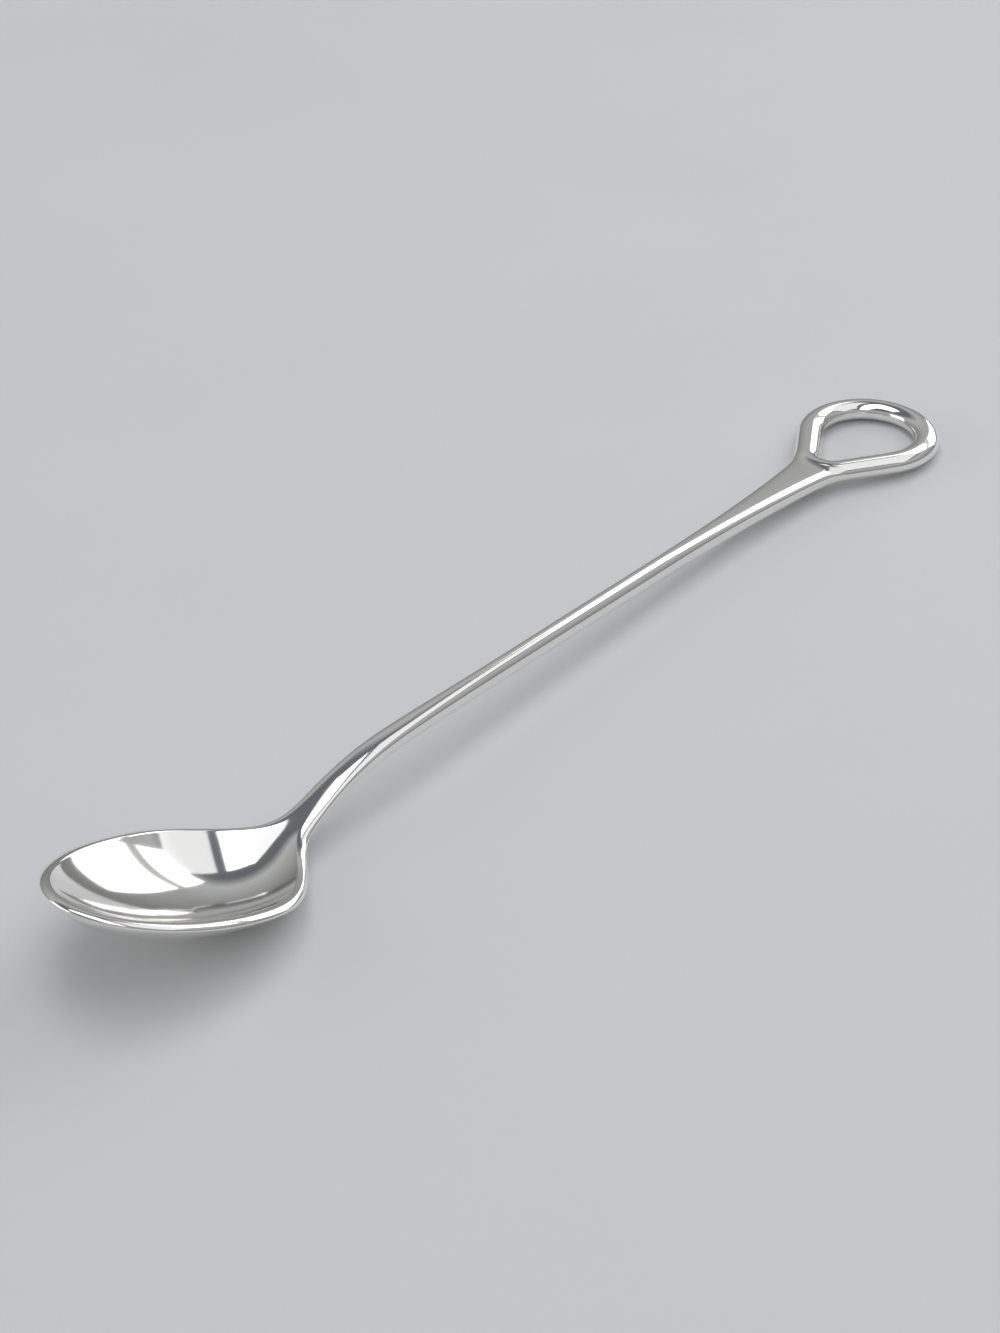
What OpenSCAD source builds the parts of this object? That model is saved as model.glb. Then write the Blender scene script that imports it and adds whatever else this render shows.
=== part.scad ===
// A small silver spoon with an open loop at the end of its stem, in millimetres.
// The spoon lies on the table, z = 0, along X. Its bowl is toward -X and the
// origin is under the middle of its length.
// Three silver pieces are joined by two films of silver solder: a scarf joint
// at the neck, and a hollowed seat that holds the root of the loop.

/* [Overall] */
// Length from the bowl's tip to the loop's end
length = 145; // [135:1:160]
// Depth worn off the belly and the loop where they rest on the table
wear = 0.08; // [0.02:0.01:0.15]

/* [Bowl] */
// Width across the lip
bowl_width = 21.8; // [19:0.2:25]
// Distance from the tip to the widest place
tip_reach = 16.2; // [14:0.2:18]
// Distance from the widest place to the end of the heel's curve
heel_reach = 15.7; // [14:0.1:17]
// Fullness of the heel's curve
heel_power = 2.5; // [2.2:0.1:2.8]
// Distance from the widest place to the lip's low point at the heel
dip_reach = 13; // [11:0.5:15]
// Roundness of the lip at that low point
dip_round = 1.8; // [1.2:0.1:2.4]
// Size of the fillet between the heel and the neck
heel_fillet = 1.7; // [1:0.1:2]
// Depth of the hollow under the lip
bowl_depth = 4.1; // [3.4:0.1:5]
// Thickness of the metal under the hollow
bowl_wall = 1.1; // [0.8:0.1:1.6]
// Distance from the widest place to where the belly runs out into the neck
belly_reach = 17.3; // [16:0.1:19]
// Distance from the widest place to where the hollow runs out at the heel
hollow_reach = 16.5; // [15:0.1:18]
// How late in that distance the hollow's floor rises
hollow_power = 2.5; // [2:0.1:3]
// Fullness of the underside toward its edge
belly_fullness = 0.25; // [0:0.05:0.5]
// Power of the hollow's curve at the tip, where 1 is as at the sides and less is fuller
tip_hollow = 0.85; // [0.7:0.05:1]
// Power of the underside's curve at the tip
tip_back = 0.65; // [0.5:0.05:1]
// Width of the lip
lip_width = 1.4; // [1.1:0.1:1.8]
// Height of the lip's crest over its inner edge
lip_crown = 0.1; // [0.05:0.05:0.2]
// Height of the lip's crest over its outer edge, where the lip rolls over
lip_round = 0.6; // [0.3:0.05:0.9]
// Slope of the lip up to the tip, in degrees
bowl_tilt = 21.5; // [17:0.5:25]

/* [Stem] */
// Slope of the neck up from the heel, in degrees
neck_slope = 18.5; // [15:0.5:24]
// Height of the neck where its top is flat
neck_height = 2.4; // [2:0.1:3]
// Width of the neck where its top is flat
neck_width = 2.9; // [2.4:0.1:3.4]
// Height of the neck's top over its widest place
neck_round = 0.9; // [0.5:0.1:1.2]
// Squareness of the neck's top, where 2 is an oval
neck_square = 2.6; // [2:0.1:3.4]
// Distance from the bowl's widest place to where the neck is egg-shaped
neck_reach = 21.2; // [19:0.1:23]
// Distance from the tip to the joint of bowl and stem
joint_reach = 40; // [38:0.5:44]
// Slant of that joint, in degrees
joint_slant = 40; // [0:5:45]
// Distance from that joint to where the stem is round
round_reach = 28; // [16:1:36]
// Roundness of the stem's crest
crest_round = 1; // [0.6:0.1:1.6]
// Thickness of the stem at its thin place, behind the neck
stem_thin = 2.5; // [2:0.1:3]
// Thickness of the stem before it widens to the loop
stem_thick = 2.6; // [2.2:0.1:3.4]
// Slope of the stem down to the loop, in degrees
stem_slope = 2.8; // [2.4:0.1:4]
// Length over which the stem widens to the loop
flare_length = 32; // [20:1:40]
// How late in that length the stem widens
flare_power = 2.2; // [1.6:0.1:3]
// Share of the widening that sweeps out into the loop's sides
flare_sweep = 0.3; // [0.15:0.05:0.5]
// Squareness of the widened end's section, where 2 is an oval
flare_square = 3.6; // [2.4:0.1:5]
// Thickness of the widened end at the loop
flare_height = 1.9; // [1.6:0.1:2.1]

/* [Loop] */
// Length of the loop over its outside
loop_length = 21; // [19:0.5:24]
// Width of the loop over its outside
loop_width = 17.4; // [16:0.2:19]
// Width of the loop's narrow root over its outside
loop_root = 9.2; // [8.6:0.2:10.4]
// Width of the loop's bar
bar_width = 3.2; // [2.8:0.1:3.6]
// Height of the loop's bar
bar_height = 2.5; // [2.2:0.1:3]

/* [Joints] */
// Thickness of the solder films
solder = 0.1; // [0.06:0.01:0.2]
// How far the widened end stays inside the loop's sides
seat_inset = 0.1; // [0:0.02:0.3]

/* [Hidden] */

// Steps along the hollow, the lip's inner side and its outer side, and as many in
// all along the underside
TOP = 6;
LAND = 2;
EDGE = 4;
HALF = TOP + LAND + EDGE;
LAST = 2 * HALF;
// Steps from the joint to the widest place, and around the tip
BACK = 20;
TIP = 36;
RING = 2 * BACK + TIP;
// Steps along the stem, and rows across its seat
RUN = 38;
ROWS = 4;
// Steps around the loop and around its bar
END_ARC = 42;
SIDE = 4;
ROOT_ARC = 12;
LOOP = END_ARC + ROOT_ARC + 2 * SIDE;
BAR = 24;
// Places tried in the search for the belly's lowest point
TRIES = 80;
// Largest share of half the width that the lip takes in the bowl and in the neck,
// and the share of the lip that rolls over
LIP_SHARE = 0.7;
NECK_SHARE = 0.88;
EDGE_SHARE = 0.82;
// How much closer the stem's steps lie at its ends
CROWD = 0.75;

half_bowl = bowl_width / 2;
heel_x = tip_reach + dip_reach;
neck_x = tip_reach + neck_reach;
crown_x = heel_x - dip_round;
fade_x = (heel_x + neck_x) / 2;
round_x = joint_reach + round_reach;
end_radius = (loop_width - bar_width) / 2;
root_radius = (loop_root - bar_width) / 2;
end_x = length - loop_width / 2;
root_x = length - loop_length + loop_root / 2;
loop_angle = asin((end_radius - root_radius) / (end_x - root_x));
flare_half = loop_root / 2 * cos(loop_angle) - seat_inset;
flare_x = root_x - loop_root / 2 * sin(loop_angle);
flare_start = flare_x - flare_length;
// The power that ends the widening along the loop's sides
sweep_slope = tan(loop_angle) * flare_length / (flare_half - stem_thick / 2);
sweep_power = max(1, (sweep_slope - (1 - flare_sweep) * flare_power) / flare_sweep);

function soft_max(a, b, k) = (a + b) / 2 + sqrt(pow((a - b) / 2, 2) + k * k);
function soft_min(a, b, k) = -soft_max(-a, -b, k);
function clip(t) = max(0, min(1, t));
function ease(t) = clip(t) * clip(t) * (3 - 2 * clip(t));
function mix(a, b, t) = a + (b - a) * t;
function bell(t) = pow(1 - pow(clip(t), 2), 2);
function dome(t, p, full = 0) = pow(1 - t * t, p) * (1 + full * t * t);
function power(v, p) = sign(v) * pow(abs(v), p);

// Half the width of the bowl and neck behind the widest place
function side(x) =
    let (
        narrow = neck_width / 2,
        full = half_bowl - heel_fillet * heel_fillet / (half_bowl - narrow),
        u = max(0, (x - tip_reach) / heel_reach)
    )
    soft_max(full * (1 - pow(u, heel_power)), narrow, heel_fillet);

// Height of the lip over the tip, before the spoon is set on the table
function lip_slope(x) = -tan(bowl_tilt) * x;
function neck_rise(x) = lip_slope(heel_x) + tan(neck_slope) * (x - heel_x);
// The change from the bowl's lip to the top of the neck, how far that top stands
// over the middle of the neck's height, and over its widest place
function to_neck(x) = ease((x - crown_x) / (joint_reach - crown_x));
function crown(x) = neck_height / 2 * to_neck(x);
function edge_round(x) = mix(lip_round, neck_round, to_neck(x));
function depth(x) = mix(neck_height, bowl_depth + bowl_wall, bell((x - tip_reach) / belly_reach));
function hollow(x) =
    bowl_depth * pow(1 - pow(clip((x - tip_reach) / hollow_reach), hollow_power), 2);
function belly(x) = soft_max(lip_slope(x), neck_rise(x), dip_round) + crown(x) - depth(x);
lift = -min([for (i = [0:TRIES]) belly(mix(tip_reach, neck_x, i / TRIES))]) - wear;

// Height of the lip in the bowl, and of the middle of the stem behind it
function fall(x) = bar_height / 2 - wear + tan(stem_slope) * (length - bar_width / 2 - x);
function stem_line(x) = soft_min(neck_rise(x) + lift, fall(x), crest_round);
function line(x) = soft_max(lip_slope(x) + lift, stem_line(x), dip_round);

function place(x, y, z) = [x - length / 2, y, max(0, z)];

// One side of a section from the middle of its top to the middle of its
// underside, as distances out from the middle and up from the lip
function dished(reach, hollowed, deep, neck = 0, tip = 0) =
    let (
        lip = min(lip_width, mix(LIP_SHARE, NECK_SHARE, neck) * reach),
        inner = reach - lip,
        roll = EDGE_SHARE * lip,
        edge = mix(lip_round, neck_round, neck),
        drop = hollowed * lip_crown / bowl_depth
    )
    [
        for (i = [0:TOP])
            let (t = sin(90 * i / TOP))
            [inner * t, -drop - (hollowed - drop) * dome(t, mix(1, tip_hollow, tip))],
        for (i = [1:LAND]) [mix(inner, reach - roll, i / LAND), -drop * pow(1 - i / LAND, 2)],
        for (i = [1:EDGE]) [reach - roll + roll * sin(90 * i / EDGE), -edge * (1 - cos(90 * i / EDGE))],
        for (i = [1:HALF])
            let (t = cos(90 * i / HALF))
            [reach * t, -edge - (deep - edge) * dome(t, mix(1, tip_back, tip), belly_fullness)]
    ];

function stem_half(x) =
    mix(stem_thin, stem_thick, (min(x, flare_start) - round_x) / (flare_start - round_x)) / 2;

// The section of the neck and stem at x, as distances out and up from the line.
// It is dished in the bowl, then egg-shaped, then round, and at last a flat oval.
function section(x) =
    let (
        reach = side(x),
        dish = dished(reach, hollow(x), depth(x), to_neck(x)),
        egg = ease((x - fade_x) / (neck_x - fade_x)),
        rounded = ease((x - neck_x) / (round_x - neck_x)),
        f = clip((x - flare_start) / flare_length),
        widened = mix(pow(f, flare_power), pow(f, sweep_power), flare_sweep),
        half_w = mix(reach, mix(stem_half(x), flare_half, widened), rounded),
        half_h = mix(stem_half(x), flare_height / 2, f),
        level = mix(crown(x) - edge_round(x), 0, rounded)
    )
    [
        for (i = [0:LAST])
            let (
                top = i <= HALF,
                h = mix(top ? edge_round(x) : depth(x) - edge_round(x), half_h, rounded),
                p = mix(top ? neck_square : 2, mix(2, flare_square, f), rounded),
                a = acos(pow(clip(dish[i][0] / reach), p / 2)),
                turn = mix(top ? a : -a, 90 - 180 * i / LAST, rounded)
            )
            mix(
                [dish[i][0], dish[i][1] + crown(x)],
                [half_w * power(cos(turn), 2 / p), level + h * power(sin(turn), 2 / p)],
                egg
            )
    ];

// Where the slanted joint cuts a point of the section, moved back by a film
function joint_at(i, film, x, n = 4) =
    let (
        p = section(x)[i],
        z = line(x) + p[1],
        cut = joint_reach + film + tan(joint_slant) * (z - line(joint_reach))
    )
    n == 0 ? [cut, p[0], z] : joint_at(i, film, cut, n - 1);

// Where the loop's root meets a point, moved off it by a film
function seat_x(y, up, film) =
    let (
        out = root_radius + bar_width / 2 * sqrt(max(0, 1 - pow(2 * up / bar_height, 2))) + film
    )
    root_x - sqrt(max(0, out * out - y * y));

function seat_at(i, film, x, n = 4) =
    let (p = section(x)[i], cut = seat_x(p[0], p[1], film))
    n == 0 ? [cut, p[0], p[1]] : seat_at(i, film, cut, n - 1);

joint_front = [for (i = [0:LAST]) joint_at(i, 0, joint_reach)];
joint_back = [for (i = [0:LAST]) joint_at(i, solder, joint_reach)];
seat_edge = [for (i = [0:LAST]) seat_at(i, solder, flare_x)];

// A closed outline from one side of a section and its mirror image
AROUND = 2 * LAST;
function both(points) = [
    for (p = points) p,
    for (i = [LAST - 1:-1:1]) [points[i][0], -points[i][1], points[i][2]]
];

// Faces without those that shared points have closed up
function real(faces) = [for (f = faces) if (f[0] != f[1] && f[1] != f[2] && f[2] != f[0]) f];

// One point of the bowl: s steps along the ring from the joint around the tip
// to the joint again, i steps down the section
function bowl_point(s, i) =
    s > BACK && s < BACK + TIP ? tip_point(s - BACK, i) :
    let (
        far = s > BACK,
        t = (far ? RING - s : s) / BACK,
        x = mix(joint_front[i][0], tip_reach, t),
        p = t == 0 ? [joint_front[i][1], joint_front[i][2] - line(x)] : section(x)[i]
    )
    place(x, far ? -p[0] : p[0], p[1] + line(x));

function tip_point(s, i) =
    let (
        a = 180 * s / TIP,
        out = [-tip_reach * sin(a), half_bowl * cos(a)],
        reach = norm(out),
        tip = (reach - half_bowl) / (tip_reach - half_bowl),
        p = dished(reach, bowl_depth, bowl_depth + bowl_wall, 0, tip)[i],
        x = tip_reach + out[0] / reach * p[0]
    )
    place(x, out[1] / reach * p[0], p[1] + line(x));

// The two sides share the points along the middle
function bowl_id(s, i) =
    let (middle = i == 0 || i == LAST, at = s <= BACK ? s : s < BACK + TIP ? BACK : RING - s)
    (middle ? at : s) * (LAST + 1) + i;

module bowl() {
    points = [for (s = [0:RING]) for (i = [0:LAST]) bowl_point(s, i)];
    skin = [
        for (s = [0:RING - 1])
            for (i = [0:LAST - 1])
                for (f = [
                    [bowl_id(s, i), bowl_id(s + 1, i), bowl_id(s + 1, i + 1)],
                    [bowl_id(s, i), bowl_id(s + 1, i + 1), bowl_id(s, i + 1)]
                ])
                    f
    ];
    end = [
        for (i = [0:LAST]) bowl_id(0, i),
        for (i = [LAST - 1:-1:1]) bowl_id(RING, i)
    ];
    color("silver") polyhedron(points, concat(real(skin), [end]));
}

module neck_solder() {
    front = [for (p = both(joint_front)) place(p[0], p[1], p[2])];
    back = [for (p = both(joint_back)) place(p[0], p[1], p[2])];
    wall = [
        for (i = [0:AROUND - 1])
            let (k = (i + 1) % AROUND)
            for (f = [[i, k, AROUND + k], [i, AROUND + k, AROUND + i]])
                f
    ];
    color("gainsboro")
        polyhedron(
            concat(front, back),
            concat(wall, [[for (i = [AROUND - 1:-1:0]) i], [for (i = [0:AROUND - 1]) AROUND + i]])
        );
}

// One ring of the stem, from the neck joint at 0 to the loop's seat at 1
function stem_ring(t) = both([
    for (i = [0:LAST])
        let (
            x = mix(joint_back[i][0], seat_edge[i][0], t),
            p = t == 0 ? [joint_back[i][1], joint_back[i][2] - line(x)] :
                t == 1 ? [seat_edge[i][1], seat_edge[i][2]] : section(x)[i]
        )
        [x, p[0], p[1] + line(x)]
]);

// Points inside the seat, row by row between its top edge and its bottom edge
function seat_inside(film) = [
    for (r = [1:ROWS - 1])
        for (c = [1 - HALF:HALF - 1])
            let (
                p = seat_edge[abs(c)],
                y = c < 0 ? -p[1] : p[1],
                up = mix(p[2], seat_edge[LAST - abs(c)][2], r / ROWS),
                x = seat_x(y, up, film)
            )
            place(x, y, up + line(x))
];

function seat_rim(film) = [
    for (p = both(seat_edge))
        let (x = seat_x(p[1], p[2], film))
        place(x, p[1], p[2] + line(x))
];

// Numbers of the seat's points: its edge from `first`, its inside from `more`
function seat_id(r, c, first, more) =
    let (step = r == ROWS ? LAST - abs(c) : abs(c))
    r == 0 || r == ROWS || abs(c) == HALF
        ? first + (c < 0 ? (AROUND - step) % AROUND : step)
        : more + (r - 1) * (LAST - 1) + c + HALF - 1;

function seat_faces(first, more) = [
    for (r = [0:ROWS - 1])
        for (c = [-HALF:HALF - 1])
            let (
                a = seat_id(r, c, first, more),
                b = seat_id(r, c + 1, first, more),
                d = seat_id(r + 1, c, first, more),
                e = seat_id(r + 1, c + 1, first, more)
            )
            for (f = [[a, b, e], [a, e, d]])
                f
];

function flip(faces) = [for (f = faces) [f[2], f[1], f[0]]];

module stem() {
    rings = [
        for (s = [0:RUN])
            let (t = s / RUN, crowded = t - CROWD * sin(360 * t) / (2 * PI))
            for (p = stem_ring(s == RUN ? 1 : crowded))
                place(p[0], p[1], p[2])
    ];
    skin = [
        for (s = [0:RUN - 1])
            for (i = [0:AROUND - 1])
                let (k = (i + 1) % AROUND, a = s * AROUND, b = a + AROUND)
                for (f = [[a + i, a + k, b + k], [a + i, b + k, b + i]])
                    f
    ];
    first = RUN * AROUND;
    more = first + AROUND;
    color("silver")
        polyhedron(
            concat(rings, seat_inside(solder)),
            concat(skin, real(seat_faces(first, more)), [[for (i = [AROUND - 1:-1:0]) i]])
        );
}

module loop_solder() {
    count = AROUND + (ROWS - 1) * (LAST - 1);
    back = concat(seat_rim(solder), seat_inside(solder));
    front = concat(seat_rim(0), seat_inside(0));
    wall = [
        for (i = [0:AROUND - 1])
            let (k = (i + 1) % AROUND)
            for (f = [[i, k, count + k], [i, count + k, count + i]])
                f
    ];
    color("gainsboro")
        polyhedron(
            concat(back, front),
            concat(
                wall,
                flip(real(seat_faces(0, AROUND))),
                real(seat_faces(count, count + AROUND))
            )
        );
}

// The middle of the loop's bar and the direction out from it
function loop_path() =
    let (
        turn = 90 + loop_angle,
        out = function(a) [cos(a), sin(a)],
        end = function(a) [end_x, 0] + end_radius * out(a),
        root = function(a) [root_x, 0] + root_radius * out(a)
    )
    [
        for (i = [0:END_ARC - 1]) let (a = mix(-turn, turn, i / END_ARC)) [end(a), out(a)],
        for (i = [0:SIDE - 1]) [mix(end(turn), root(turn), i / SIDE), out(turn)],
        for (i = [0:ROOT_ARC - 1]) let (a = mix(turn, 360 - turn, i / ROOT_ARC)) [root(a), out(a)],
        for (i = [0:SIDE - 1]) [mix(root(-turn), end(-turn), i / SIDE), out(-turn)]
    ];

module loop() {
    points = [
        for (s = loop_path())
            for (i = [0:BAR - 1])
                let (
                    a = 360 * i / BAR,
                    at = s[0] + s[1] * bar_width / 2 * cos(a)
                )
                place(at[0], at[1], bar_height / 2 * sin(a) + line(at[0]))
    ];
    skin = [
        for (s = [0:LOOP - 1])
            for (i = [0:BAR - 1])
                let (k = (i + 1) % BAR, a = s * BAR, b = ((s + 1) % LOOP) * BAR)
                for (f = [[a + i, a + k, b + k], [a + i, b + k, b + i]])
                    f
    ];
    color("silver") polyhedron(points, skin);
}

bowl();
neck_solder();
stem();
loop_solder();
loop();
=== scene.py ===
# A small silver spoon with an open loop at the end of its stem, on a pale table.
# All lengths are in metres. Along the spoon, x is counted from the bowl's tip.
import math

import bmesh
import bpy
from mathutils import Euler, Matrix, Vector


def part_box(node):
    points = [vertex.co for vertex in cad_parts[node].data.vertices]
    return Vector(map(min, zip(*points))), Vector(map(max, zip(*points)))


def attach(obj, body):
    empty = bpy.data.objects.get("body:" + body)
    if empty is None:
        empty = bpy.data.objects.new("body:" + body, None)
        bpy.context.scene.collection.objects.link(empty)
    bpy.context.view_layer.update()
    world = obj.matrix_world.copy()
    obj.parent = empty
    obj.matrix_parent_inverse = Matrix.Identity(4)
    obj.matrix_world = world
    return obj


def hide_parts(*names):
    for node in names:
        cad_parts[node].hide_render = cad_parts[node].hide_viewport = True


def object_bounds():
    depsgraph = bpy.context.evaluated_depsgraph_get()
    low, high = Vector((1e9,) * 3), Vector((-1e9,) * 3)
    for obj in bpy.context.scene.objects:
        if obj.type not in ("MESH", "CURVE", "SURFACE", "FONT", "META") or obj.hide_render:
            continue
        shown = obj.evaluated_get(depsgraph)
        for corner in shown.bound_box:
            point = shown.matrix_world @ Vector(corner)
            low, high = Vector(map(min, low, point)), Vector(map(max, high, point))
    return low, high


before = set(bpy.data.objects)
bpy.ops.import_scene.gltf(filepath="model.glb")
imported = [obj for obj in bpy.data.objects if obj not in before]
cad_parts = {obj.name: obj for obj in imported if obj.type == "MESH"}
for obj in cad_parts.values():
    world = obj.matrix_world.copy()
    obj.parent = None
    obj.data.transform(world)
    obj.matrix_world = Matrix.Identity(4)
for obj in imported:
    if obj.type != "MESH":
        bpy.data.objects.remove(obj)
cad_low, cad_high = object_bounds()

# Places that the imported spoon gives
loop_low, loop_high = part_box("loop")
TIP = cad_low.x
LENGTH = cad_high.x - cad_low.x
HALF_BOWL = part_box("bowl")[1].y
LOOP_LONG = loop_high.x - loop_low.x
LOOP_WIDE = loop_high.y - loop_low.y
# Depth worn off where the spoon rests on the table
WEAR = 0.00008

# The bowl: its widest place, heel, hollow, lip and tilt. Slopes are rise over run.
WIDEST = 0.0162
HEEL_REACH = 0.0157
HEEL_POWER = 2.5
HEEL_FILLET = 0.0017
DIP_REACH = 0.013
DIP_ROUND = 0.0018
DIP = WIDEST + DIP_REACH
HOLLOW_DEEP = 0.0041
BOWL_WALL = 0.0011
BELLY_REACH = 0.0173
HOLLOW_REACH = 0.0165
HOLLOW_POWER = 2.5
BELLY_FULLNESS = 0.25
TIP_HOLLOW = 0.85
TIP_BACK = 0.65
LIP_WIDE = 0.0014
LIP_CROWN = 0.0001
LIP_ROUND = 0.0006
LIP_SHARE = 0.7
NECK_SHARE = 0.88
EDGE_SHARE = 0.82
BOWL_TILT = math.tan(math.radians(21.5))

# The neck and the stem
NECK_SLOPE = math.tan(math.radians(18.5))
NECK_HIGH = 0.0024
NECK_WIDE = 0.0029
NECK_ROUND = 0.0009
NECK_SQUARE = 2.6
NECK_REACH = 0.0212
NECK_END = WIDEST + NECK_REACH
JOINT = 0.040
JOINT_SLANT = math.tan(math.radians(40))
ROUND_REACH = 0.028
ROUND_FROM = JOINT + ROUND_REACH
CROWN_FROM = DIP - DIP_ROUND
EGG_FROM = (DIP + NECK_END) / 2
CREST_ROUND = 0.001
STEM_THIN = 0.0025
STEM_THICK = 0.0026
STEM_SLOPE = math.tan(math.radians(2.8))
FLARE_LONG = 0.032
FLARE_POWER = 2.2
FLARE_SWEEP = 0.3
FLARE_SQUARE = 3.6
FLARE_HIGH = 0.0019

# The loop, a bar bent round two arcs, and the solder that holds it with a fillet
LOOP_ROOT = 0.0092
BAR_WIDE = 0.0032
BAR_HIGH = 0.0025
SOLDER = 0.0001
SEAT_INSET = 0.0001
FILLET = 0.0007
FILLET_STEPS = 4
FILLET_ROOT = 0.00005
END_RADIUS = (LOOP_WIDE - BAR_WIDE) / 2
ROOT_RADIUS = (LOOP_ROOT - BAR_WIDE) / 2
END_X = LENGTH - LOOP_WIDE / 2
ROOT_X = LENGTH - LOOP_LONG + LOOP_ROOT / 2
LOOP_ANGLE = math.asin((END_RADIUS - ROOT_RADIUS) / (END_X - ROOT_X))
FLARE_HALF = LOOP_ROOT / 2 * math.cos(LOOP_ANGLE) - SEAT_INSET
FLARE_X = ROOT_X - LOOP_ROOT / 2 * math.sin(LOOP_ANGLE)
FLARE_FROM = FLARE_X - FLARE_LONG
SWEEP_SLOPE = math.tan(LOOP_ANGLE) * FLARE_LONG / (FLARE_HALF - STEM_THICK / 2)
SWEEP_POWER = (SWEEP_SLOPE - (1 - FLARE_SWEEP) * FLARE_POWER) / FLARE_SWEEP

# Steps of the cages that the skins are smoothed from, and the modelling's tolerances
HOLLOW_STEPS = 9
LAND_SHARES = (0.33, 0.67, 1.0)
EDGE_STEPS = 8
HALF_STEPS = HOLLOW_STEPS + len(LAND_SHARES) + EDGE_STEPS
SECTION_STEPS = 2 * HALF_STEPS
BACK_STEPS = 24
TIP_STEPS = 36
STEM_STEPS = 60
CROWD = 0.75
SEAT_SHARES = (0.97, 0.66, 0.33, 0.0)
SEAT_TRIES = 4
BAR_STEPS = 24
END_STEPS = 24
SIDE_STEPS = 12
ROOT_STEPS = 8
SMOOTHING = 2
SAME_PLACE = 0.000001
ON_THE_CUT = SAME_PLACE / 10
SHARP_ANGLE = math.radians(35)
QUARTER = math.pi / 2


# The curves of the spoon
def soft_max(a, b, roundness):
    return (a + b) / 2 + math.hypot((a - b) / 2, roundness)


def soft_min(a, b, roundness):
    return -soft_max(-a, -b, roundness)


def clip(t):
    return min(1.0, max(0.0, t))


def ease(t):
    return clip(t) ** 2 * (3 - 2 * clip(t))


def mix(a, b, t):
    return a + (b - a) * t


def bell(t):
    return (1 - clip(t) ** 2) ** 2


def dome(t, exponent, fullness=0.0):
    return max(0.0, 1 - t * t) ** exponent * (1 + fullness * t * t)


def power(value, exponent):
    return math.copysign(abs(value) ** exponent, value)


def half_width(x):
    """Half the width of the bowl and neck behind the widest place."""
    narrow = NECK_WIDE / 2
    full = HALF_BOWL - HEEL_FILLET**2 / (HALF_BOWL - narrow)
    back = max(0.0, (x - WIDEST) / HEEL_REACH)
    return soft_max(full * (1 - back**HEEL_POWER), narrow, HEEL_FILLET)


def lip_slope(x):
    return -BOWL_TILT * x


def neck_rise(x):
    return lip_slope(DIP) + NECK_SLOPE * (x - DIP)


def to_neck(x):
    """The change from the bowl's lip, 0, to the top of the neck, 1."""
    return ease((x - CROWN_FROM) / (JOINT - CROWN_FROM))


def crown(x):
    """How far the neck's flat top stands over the middle of its height."""
    return NECK_HIGH / 2 * to_neck(x)


def metal_depth(x):
    return mix(NECK_HIGH, HOLLOW_DEEP + BOWL_WALL, bell((x - WIDEST) / BELLY_REACH))


def hollow_depth(x):
    return HOLLOW_DEEP * (1 - clip((x - WIDEST) / HOLLOW_REACH) ** HOLLOW_POWER) ** 2


def belly(x):
    return soft_max(lip_slope(x), neck_rise(x), DIP_ROUND) + crown(x) - metal_depth(x)


# How far the bowl is raised so that its belly rests on the table
BELLY_TRIES = 80
LIFT = -WEAR - min(belly(mix(WIDEST, NECK_END, i / BELLY_TRIES)) for i in range(BELLY_TRIES + 1))


def stem_fall(x):
    return BAR_HIGH / 2 - WEAR + STEM_SLOPE * (LENGTH - BAR_WIDE / 2 - x)


def spine(x):
    """Height of the lip in the bowl, and of the stem's middle behind it."""
    stem = soft_min(neck_rise(x) + LIFT, stem_fall(x), CREST_ROUND)
    return soft_max(lip_slope(x) + LIFT, stem, DIP_ROUND)


def dished(reach, hollowed, deep, neck=0.0, tip=0.0):
    """Half a section with a hollow top, from the middle over the lip to the middle underneath."""
    lip = min(LIP_WIDE, mix(LIP_SHARE, NECK_SHARE, neck) * reach)
    inner = reach - lip
    roll = EDGE_SHARE * lip
    edge = mix(LIP_ROUND, NECK_ROUND, neck)
    drop = hollowed * LIP_CROWN / HOLLOW_DEEP
    points = []
    for step in range(HOLLOW_STEPS + 1):
        out = math.sin(QUARTER * step / HOLLOW_STEPS)
        floor = dome(out, mix(1, TIP_HOLLOW, tip))
        points.append((inner * out, -drop - (hollowed - drop) * floor))
    for share in LAND_SHARES:
        points.append((mix(inner, reach - roll, share), -drop * (1 - share) ** 2))
    for step in range(1, EDGE_STEPS + 1):
        turn = QUARTER * step / EDGE_STEPS
        points.append((reach - roll + roll * math.sin(turn), edge * (math.cos(turn) - 1)))
    for step in range(1, HALF_STEPS + 1):
        out = math.cos(QUARTER * step / HALF_STEPS)
        back = dome(out, mix(1, TIP_BACK, tip), BELLY_FULLNESS)
        points.append((reach * out, -edge - (deep - edge) * back))
    return points


def stem_half(x):
    along = (min(x, FLARE_FROM) - ROUND_FROM) / (FLARE_FROM - ROUND_FROM)
    return mix(STEM_THIN, STEM_THICK, along) / 2


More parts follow.
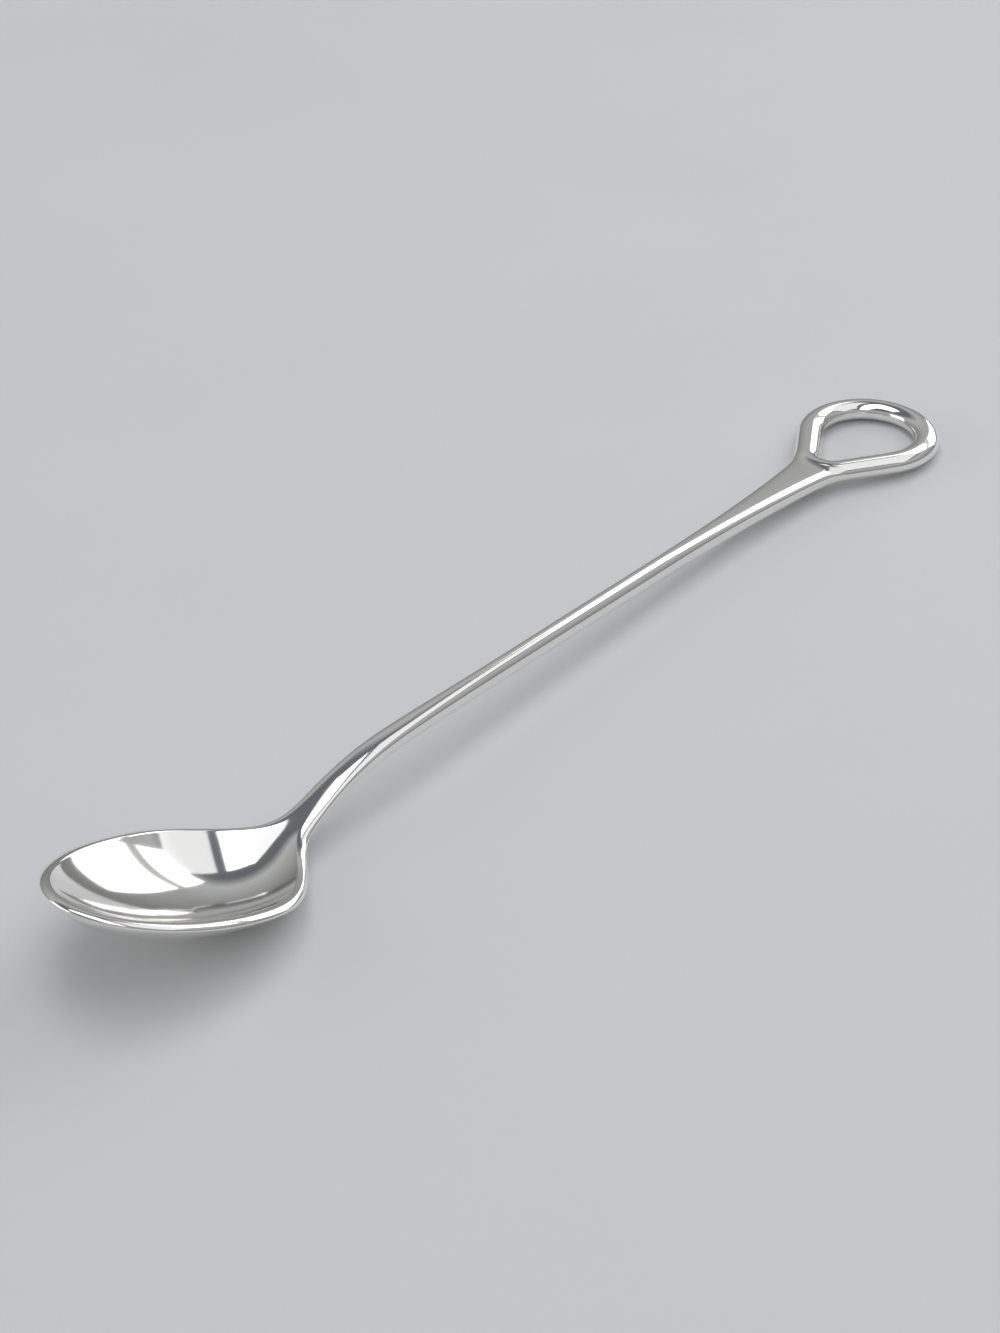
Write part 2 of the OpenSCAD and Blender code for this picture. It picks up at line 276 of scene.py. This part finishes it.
def section_point(x, step):
    """One point of half a section at x, as its distance out and its height over the spine.

    The section is dished in the bowl, then egg-shaped, then round, and at last a flat oval.
    """
    reach = half_width(x)
    edge = mix(LIP_ROUND, NECK_ROUND, to_neck(x))
    dish_out, dish_up = dished(reach, hollow_depth(x), metal_depth(x), to_neck(x))[step]
    egg = ease((x - EGG_FROM) / (NECK_END - EGG_FROM))
    rounded = ease((x - NECK_END) / (ROUND_FROM - NECK_END))
    flare = clip((x - FLARE_FROM) / FLARE_LONG)
    widened = mix(flare**FLARE_POWER, flare**SWEEP_POWER, FLARE_SWEEP)
    wide = mix(reach, mix(stem_half(x), FLARE_HALF, widened), rounded)
    over = step <= HALF_STEPS
    neck_high = edge if over else metal_depth(x) - edge
    high = mix(neck_high, mix(stem_half(x), FLARE_HIGH / 2, flare), rounded)
    square = mix(NECK_SQUARE if over else 2, mix(2, FLARE_SQUARE, flare), rounded)
    turn = math.acos(clip(dish_out / reach) ** (square / 2))
    turn = mix(turn if over else -turn, QUARTER - math.pi * step / SECTION_STEPS, rounded)
    out = wide * power(math.cos(turn), 2 / square)
    up = mix(crown(x) - edge, 0, rounded) + high * power(math.sin(turn), 2 / square)
    return mix(dish_out, out, egg), mix(dish_up + crown(x), up, egg)


def seat_x(out, up, film=SOLDER):
    """Where the solder on the loop's root meets a point of the stem's end."""
    bar = BAR_WIDE / 2 * math.sqrt(max(0.0, 1 - (2 * up / BAR_HIGH) ** 2))
    return ROOT_X - math.sqrt(max(0.0, (ROOT_RADIUS + bar + film) ** 2 - out**2))


def on_spoon(x, y, up):
    return Vector((TIP + x, y, spine(x) + up))


# Modelling by rings
def start_fresh():
    if bpy.context.object and bpy.context.object.mode != "OBJECT":
        bpy.ops.object.mode_set(mode="OBJECT")
    bpy.ops.object.select_all(action="DESELECT")


def pick(*pieces):
    """Selects the pieces and works on the last of them."""
    start_fresh()
    for piece in pieces:
        piece.select_set(True)
        bpy.context.view_layer.objects.active = piece


def settle(piece, ring):
    """Moves the selected ring of points to its place."""
    skin = bmesh.from_edit_mesh(piece.data)
    number = skin.verts.layers.int["ring_place"]
    for point in skin.verts:
        if point.select:
            point.co = ring[point[number]]
    bmesh.update_edit_mesh(piece.data)


def draw_out(name, rings):
    """A skin that is extruded from one ring of points to the next, left in edit mode."""
    start_fresh()
    bpy.ops.mesh.primitive_circle_add(vertices=len(rings[0]))
    piece = bpy.context.object
    piece.name = name
    bpy.ops.object.mode_set(mode="EDIT")
    skin = bmesh.from_edit_mesh(piece.data)
    number = skin.verts.layers.int.new("ring_place")
    for place, point in enumerate(skin.verts):
        point[number] = place
    settle(piece, rings[0])
    for ring in rings[1:]:
        bpy.ops.mesh.extrude_region_move()
        settle(piece, ring)
    close_seams()
    return piece


def close_seams():
    bpy.ops.mesh.select_all(action="SELECT")
    bpy.ops.mesh.remove_doubles(threshold=SAME_PLACE)
    bpy.ops.mesh.normals_make_consistent(inside=False)


def smooth_skin(piece):
    bpy.ops.object.mode_set(mode="OBJECT")
    smoothing = piece.modifiers.new("smoothing", "SUBSURF")
    smoothing.levels = SMOOTHING
    smoothing.render_levels = SMOOTHING
    bpy.ops.object.modifier_apply(modifier=smoothing.name)


def saw(at, facing, **side_lost):
    """Cuts the piece through and closes the cut."""
    bpy.ops.object.mode_set(mode="EDIT")
    bpy.ops.mesh.select_all(action="SELECT")
    bpy.ops.mesh.bisect(
        plane_co=at, plane_no=facing, use_fill=True, threshold=ON_THE_CUT, **side_lost
    )


def saw_neck(film, **side_lost):
    saw(on_spoon(JOINT, 0, 0) + Vector((film, 0, 0)), (1, 0, -JOINT_SLANT), **side_lost)


def wear_flat(piece):
    """Flattens what would stand below the table."""
    bpy.ops.object.mode_set(mode="EDIT")
    bpy.ops.mesh.select_all(action="DESELECT")
    skin = bmesh.from_edit_mesh(piece.data)
    for point in skin.verts:
        point.select = point.co.z < 0
    skin.select_flush_mode()
    bmesh.update_edit_mesh(piece.data)
    bpy.ops.transform.resize(value=(1, 1, 0), center_override=(0, 0, 0))


def finish_piece(piece, node, finish):
    bpy.ops.object.mode_set(mode="OBJECT")
    bpy.ops.object.shade_smooth_by_angle(angle=SHARP_ANGLE)
    if "ring_place" in piece.data.attributes:
        piece.data.attributes.remove(piece.data.attributes["ring_place"])
    piece.data.materials.append(finish)
    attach(piece, "root")
    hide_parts(node)


# The pieces
def bowl_point(stop, step):
    """A point of the bowl: stops run from the neck round the tip and back to the neck."""
    if BACK_STEPS < stop < BACK_STEPS + TIP_STEPS:
        return tip_point(math.pi * (stop - BACK_STEPS) / TIP_STEPS, step)
    far = stop > BACK_STEPS
    last = 2 * BACK_STEPS + TIP_STEPS
    x = mix(JOINT, WIDEST, (last - stop if far else stop) / BACK_STEPS)
    out, up = section_point(x, step)
    return on_spoon(x, -out if far else out, up)


def tip_point(turn, step):
    along = -WIDEST * math.sin(turn)
    across = HALF_BOWL * math.cos(turn)
    reach = math.hypot(along, across)
    tip = (reach - HALF_BOWL) / (WIDEST - HALF_BOWL)
    out, up = dished(reach, HOLLOW_DEEP, HOLLOW_DEEP + BOWL_WALL, tip=tip)[step]
    return on_spoon(WIDEST + along / reach * out, across / reach * out, up)


def bowl_skin():
    """The bowl and neck, open where the stem goes on."""
    stops = range(2 * BACK_STEPS + TIP_STEPS + 1)
    rings = [[bowl_point(stop, step) for stop in stops] for step in range(SECTION_STEPS + 1)]
    bowl = draw_out("silver_bowl", rings)
    bpy.ops.mesh.select_all(action="DESELECT")
    skin = bmesh.from_edit_mesh(bowl.data)
    for face in skin.faces:
        face.select = face.calc_center_median().x > TIP + JOINT - SAME_PLACE
    bmesh.update_edit_mesh(bowl.data)
    bpy.ops.mesh.delete(type="FACE")
    return bowl


def seat_points():
    """The rim of the stem's hollowed end, as distances out and up on one side."""
    rim = []
    for step in range(SECTION_STEPS + 1):
        x = FLARE_X
        for _ in range(SEAT_TRIES):
            x = seat_x(*section_point(x, step))
        rim.append(section_point(x, step))
    return rim


def all_round(half):
    """A closed ring from half a section and its mirror image."""
    other = [Vector((p.x, -p.y, p.z)) for p in half[-2:0:-1]]
    return half + other


def seat_ring(rim, share, film=SOLDER):
    """A ring of the seat's surface, at that share of the way from its middle to its rim."""
    half = []
    for out, up in rim:
        half.append(on_spoon(seat_x(out * share, up * share, film), out * share, up * share))
    return all_round(half)


def stem_skin():
    """The stem from the neck to its hollowed end, open where the bowl begins."""
    rim = seat_points()
    rings = []
    for stop in range(STEM_STEPS + 1):
        half = []
        share = stop / STEM_STEPS
        share -= CROWD * math.sin(2 * math.pi * share) / (2 * math.pi)
        for step, (out, up) in enumerate(rim):
            x = mix(JOINT, seat_x(out, up), share)
            half.append(on_spoon(x, *section_point(x, step)))
        rings.append(all_round(half))
    rings += [seat_ring(rim, share) for share in SEAT_SHARES]
    return draw_out("silver_stem", rings)


def copy_of(skin, name):
    pick(skin)
    bpy.ops.object.duplicate()
    bpy.context.object.name = name
    return bpy.context.object


def make_bowl_and_stem(finish, joint_finish):
    """One skin from tip to loop, sawn at the neck into the bowl, the solder and the stem."""
    bowl = bowl_skin()
    stem = stem_skin()
    pick(bowl, stem)
    bpy.ops.object.join()
    bpy.ops.object.mode_set(mode="EDIT")
    close_seams()
    smooth_skin(stem)
    bowl = copy_of(stem, "silver_bowl")
    saw_neck(0, clear_outer=True)
    wear_flat(bowl)
    finish_piece(bowl, "bowl", finish)
    film = copy_of(stem, "neck_solder_film")
    saw_neck(SOLDER, clear_outer=True)
    saw_neck(0, clear_inner=True)
    finish_piece(film, "neck_solder", joint_finish)
    pick(stem)
    saw_neck(SOLDER, clear_inner=True)
    finish_piece(stem, "stem", finish)


def fillet_points(step, out, up):
    """Points across the solder's fillet, from under the stem's skin to under the bar's."""
    corner = on_spoon(seat_x(out, up), out, up)
    back = seat_x(out, up) - FILLET
    stem_out, stem_up = section_point(back, step)
    on_stem = on_spoon(back, stem_out, stem_up)
    turn = QUARTER - math.pi * step / SECTION_STEPS
    climb = math.asin(2 * up / BAR_HIGH) + FILLET / (BAR_HIGH / 2) * math.sin(turn)
    around = math.asin(out / (ROOT_RADIUS + BAR_WIDE / 2 * math.cos(climb)))
    around += FILLET / (ROOT_RADIUS + BAR_WIDE / 2) * math.cos(turn)
    radius = ROOT_RADIUS + BAR_WIDE / 2 * math.cos(climb)
    x = ROOT_X - radius * math.cos(around)
    on_bar = on_spoon(x, radius * math.sin(around), BAR_HIGH / 2 * math.sin(climb))
    inward = Vector((0, -stem_out, -stem_up)).normalized() * FILLET_ROOT
    points = [on_stem + inward]
    for stop in range(FILLET_STEPS + 1):
        share = stop / FILLET_STEPS
        points.append(on_stem.lerp(corner, share).lerp(corner.lerp(on_bar, share), share))
    points.append(on_bar + inward)
    return points


def make_loop_film(finish):
    """Solder that fills the loop's seat and closes it with a small fillet."""
    rim = seat_points()
    rings = [seat_ring(rim, share) for share in reversed(SEAT_SHARES)]
    fillet = [fillet_points(step, out, up) for step, (out, up) in enumerate(rim)]
    rings += [all_round(list(half)) for half in zip(*fillet)]
    rings += [seat_ring(rim, share, 0) for share in SEAT_SHARES]
    film = draw_out("loop_solder_fillet", rings)
    smooth_skin(film)
    finish_piece(film, "loop_solder", finish)


def make_loop(finish):
    """Half the loop's bar is spun round its two arcs, mirrored and set along the spine."""
    start_fresh()
    level = spine(END_X + END_RADIUS)
    tip = Vector((TIP + END_X + END_RADIUS, 0, level))
    bpy.ops.mesh.primitive_circle_add(
        vertices=BAR_STEPS, radius=BAR_WIDE / 2, location=tip, rotation=(QUARTER, 0, 0)
    )
    loop = bpy.context.object
    loop.name = "silver_loop"
    bpy.ops.object.transform_apply(location=True, rotation=True, scale=True)
    bpy.ops.object.mode_set(mode="EDIT")
    bpy.ops.transform.resize(value=(1, 1, BAR_HIGH / BAR_WIDE), center_override=tip)
    turn = QUARTER + LOOP_ANGLE
    side = math.sqrt((END_X - ROOT_X) ** 2 - (END_RADIUS - ROOT_RADIUS) ** 2) / SIDE_STEPS
    step = Vector((-math.cos(LOOP_ANGLE), math.sin(LOOP_ANGLE), 0)) * side
    end = (TIP + END_X, 0, level)
    root = (TIP + ROOT_X, 0, level)
    bpy.ops.mesh.spin(steps=END_STEPS, angle=turn, center=end, axis=(0, 0, 1))
    for _ in range(SIDE_STEPS):
        bpy.ops.mesh.extrude_region_move(TRANSFORM_OT_translate={"value": step})
    bpy.ops.mesh.spin(steps=ROOT_STEPS, angle=math.pi - turn, center=root, axis=(0, 0, 1))
    bpy.ops.object.mode_set(mode="OBJECT")
    mirrored = loop.modifiers.new("other_half", "MIRROR")
    mirrored.use_axis = (False, True, False)
    mirrored.merge_threshold = SAME_PLACE
    bpy.ops.object.modifier_apply(modifier=mirrored.name)
    bpy.ops.object.mode_set(mode="EDIT")
    close_seams()
    smooth_skin(loop)
    for point in loop.data.vertices:
        point.co.z += spine(point.co.x - TIP) - level
    wear_flat(loop)
    finish_piece(loop, "loop", finish)


# Finishes: pairs of colours that a soft cloud of noise mixes, and the cloud's usual range
CLOUD_LOW = 0.3
CLOUD_HIGH = 0.7
SILVER_GREY = (0.90, 0.89, 0.87)
SILVER_WHITE = (0.95, 0.945, 0.93)
SOLDER_GREY = (0.86, 0.85, 0.82)
SOLDER_WHITE = (0.92, 0.91, 0.89)
TABLE_GREY = (0.76, 0.765, 0.77)
TABLE_WHITE = (0.78, 0.785, 0.79)
# Depths of fine polishing hairs and of the low waves of hand work, and the roughness
# that the hairs add
HAIR_DEEP = 0.0000004
WAVE_DEEP = 0.00001
HAIR_ROUGHNESS = 0.05


class Finish:
    """A material's node tree, with short ways to add and join its nodes."""

    def __init__(self, name):
        self.material = bpy.data.materials.new(name)
        self.material.use_nodes = True
        self.tree = self.material.node_tree
        self.shader = self.tree.nodes["Principled BSDF"]
        self.place = self.tree.nodes.new("ShaderNodeTexCoord").outputs["Object"]

    def join(self, out, into):
        self.tree.links.new(out, into)

    def noise(self, scale, detail, stretch=(1, 1, 1), turn=(0, 0, 0)):
        mapping = self.tree.nodes.new("ShaderNodeMapping")
        mapping.inputs["Rotation"].default_value = turn
        mapping.inputs["Scale"].default_value = stretch
        noise = self.tree.nodes.new("ShaderNodeTexNoise")
        noise.inputs["Scale"].default_value = scale
        noise.inputs["Detail"].default_value = detail
        self.join(self.place, mapping.inputs["Vector"])
        self.join(mapping.outputs["Vector"], noise.inputs["Vector"])
        return noise.outputs["Fac"]

    def remap(self, value, low, high, to_low, to_high):
        span = self.tree.nodes.new("ShaderNodeMapRange")
        span.inputs["From Min"].default_value = low
        span.inputs["From Max"].default_value = high
        span.inputs["To Min"].default_value = to_low
        span.inputs["To Max"].default_value = to_high
        self.join(value, span.inputs["Value"])
        return span.outputs["Result"]

    def combine(self, operation, a, b):
        node = self.tree.nodes.new("ShaderNodeMath")
        node.operation = operation
        for socket, value in zip(node.inputs, (a, b)):
            if isinstance(value, (int, float)):
                socket.default_value = value
            else:
                self.join(value, socket)
        return node.outputs["Value"]

    def tint(self, amount, first, second):
        mixer = self.tree.nodes.new("ShaderNodeMix")
        mixer.data_type = "RGBA"
        mixer.inputs["A"].default_value = (*first, 1)
        mixer.inputs["B"].default_value = (*second, 1)
        self.join(amount, mixer.inputs["Factor"])
        return mixer.outputs["Result"]

    def cloud_colour(self, cloud, first, second):
        self.join(self.tint(cloud, first, second), self.shader.inputs["Base Color"])

    def cloud_roughness(self, cloud, smooth, rough):
        return self.remap(cloud, CLOUD_LOW, CLOUD_HIGH, smooth, rough)

    def bump(self, height, distance, under=None):
        bump = self.tree.nodes.new("ShaderNodeBump")
        bump.inputs["Distance"].default_value = distance
        self.join(height, bump.inputs["Height"])
        if under:
            self.join(under, bump.inputs["Normal"])
        return bump.outputs["Normal"]


def polished_silver():
    finish = Finish("polished_silver")
    finish.shader.inputs["Metallic"].default_value = 1.0
    cloud = finish.noise(scale=90, detail=3)
    finish.cloud_colour(cloud, SILVER_GREY, SILVER_WHITE)
    scratch = finish.noise(scale=500, detail=1, stretch=(1, 14, 14), turn=(0.2, 0.1, 0.5))
    hairs = finish.remap(scratch, low=0.66, high=0.8, to_low=0, to_high=1)
    dulled = finish.combine("MULTIPLY", hairs, HAIR_ROUGHNESS)
    rough = finish.combine("ADD", finish.cloud_roughness(cloud, smooth=0.07, rough=0.11), dulled)
    finish.join(rough, finish.shader.inputs["Roughness"])
    waves = finish.bump(finish.noise(scale=110, detail=1), WAVE_DEEP)
    finish.join(finish.bump(hairs, HAIR_DEEP, waves), finish.shader.inputs["Normal"])
    return finish.material


def silver_solder():
    finish = Finish("silver_solder")
    finish.shader.inputs["Metallic"].default_value = 1.0
    cloud = finish.noise(scale=1500, detail=3)
    finish.cloud_colour(cloud, SOLDER_GREY, SOLDER_WHITE)
    rough = finish.cloud_roughness(cloud, smooth=0.09, rough=0.14)
    finish.join(rough, finish.shader.inputs["Roughness"])
    return finish.material


def pale_table():
    finish = Finish("pale_table")
    cloud = finish.noise(scale=25, detail=4)
    finish.cloud_colour(cloud, TABLE_GREY, TABLE_WHITE)
    rough = finish.cloud_roughness(cloud, smooth=0.55, rough=0.65)
    finish.join(rough, finish.shader.inputs["Roughness"])
    return finish.material


# The stage: floor, camera, lamps, and the room's walls and ceiling by height
FLOOR_WIDE = 5.0
AZIMUTH = math.radians(-49.77)
ELEVATION = math.radians(34.29)
ROLL = math.radians(-1.16)
DISTANCE = 0.39456
LENS = 96.15
MIDDLE_RIGHT = 0.00425
MIDDLE_DOWN = 0.00149
NEAREST_SEEN = 0.01
LAMP_DISTANCE = 0.9
WALL_LOW = (0.19, 0.19, 0.19)
WALL_HIGH = (0.44, 0.445, 0.45)
WALL_TOP = 0.58
CEILING = (0.13, 0.135, 0.15)
CEILING_FROM = 0.74


def make_floor():
    start_fresh()
    bpy.ops.mesh.primitive_plane_add(size=FLOOR_WIDE)
    floor = bpy.context.object
    floor.name = "floor"
    floor.data.materials.append(pale_table())


def make_camera():
    """The camera stands so that the spoon's middle is a little right of and below the picture's."""
    bpy.ops.object.camera_add()
    camera = bpy.context.object
    turned = Euler((QUARTER - ELEVATION, 0, AZIMUTH)).to_matrix() @ Matrix.Rotation(ROLL, 3, "Z")
    camera.location = turned @ Vector((-MIDDLE_RIGHT, MIDDLE_DOWN, DISTANCE))
    camera.rotation_euler = turned.to_euler()
    camera.data.lens = LENS
    camera.data.clip_start = NEAREST_SEEN
    bpy.context.scene.camera = camera


def softbox(name, azimuth, elevation, wide, high, brightness):
    """A lamp of that width and height in degrees, toward a compass direction where +X is 90."""
    bpy.ops.object.light_add(type="AREA")
    lamp = bpy.context.object
    lamp.name = name
    lamp.data.shape = "RECTANGLE"
    lamp.data.size = 2 * LAMP_DISTANCE * math.tan(math.radians(wide / 2))
    lamp.data.size_y = 2 * LAMP_DISTANCE * math.tan(math.radians(high / 2))
    lamp.data.energy = brightness * math.pi * lamp.data.size * lamp.data.size_y
    turned = Euler((math.radians(90 - elevation), 0, math.radians(180 - azimuth))).to_matrix()
    lamp.location = turned @ Vector((0, 0, LAMP_DISTANCE))
    lamp.rotation_euler = turned.to_euler()


def light_studio():
    world = bpy.data.worlds.new("studio")
    bpy.context.scene.world = world
    world.use_nodes = True
    nodes = world.node_tree.nodes
    links = world.node_tree.links
    split = nodes.new("ShaderNodeSeparateXYZ")
    ramp = nodes.new("ShaderNodeValToRGB")
    links.new(nodes.new("ShaderNodeTexCoord").outputs["Generated"], split.inputs["Vector"])
    links.new(split.outputs["Z"], ramp.inputs["Fac"])
    links.new(ramp.outputs["Color"], nodes["Background"].inputs["Color"])
    low, ceiling = ramp.color_ramp.elements
    low.color = (*WALL_LOW, 1)
    ceiling.position = CEILING_FROM
    ceiling.color = (*CEILING, 1)
    top = ramp.color_ramp.elements.new(WALL_TOP)
    top.color = (*WALL_HIGH, 1)
    softbox("overhead", azimuth=216, elevation=82, wide=23, high=76, brightness=1.5)
    softbox("overhead_left", azimuth=348, elevation=74, wide=34, high=25, brightness=0.9)
    softbox("window_high", azimuth=125, elevation=58, wide=60, high=29, brightness=0.75)
    softbox("window_middle", azimuth=86, elevation=37.4, wide=32, high=13.2, brightness=1.6)
    softbox("window_low", azimuth=86, elevation=17.6, wide=32, high=19.2, brightness=1.6)
    softbox("window_left", azimuth=312, elevation=16, wide=40, high=36, brightness=1.2)
    bpy.context.scene.view_settings.view_transform = "Standard"


silver = polished_silver()
solder = silver_solder()
make_bowl_and_stem(silver, solder)
make_loop(silver)
make_loop_film(solder)
make_floor()
light_studio()
make_camera()
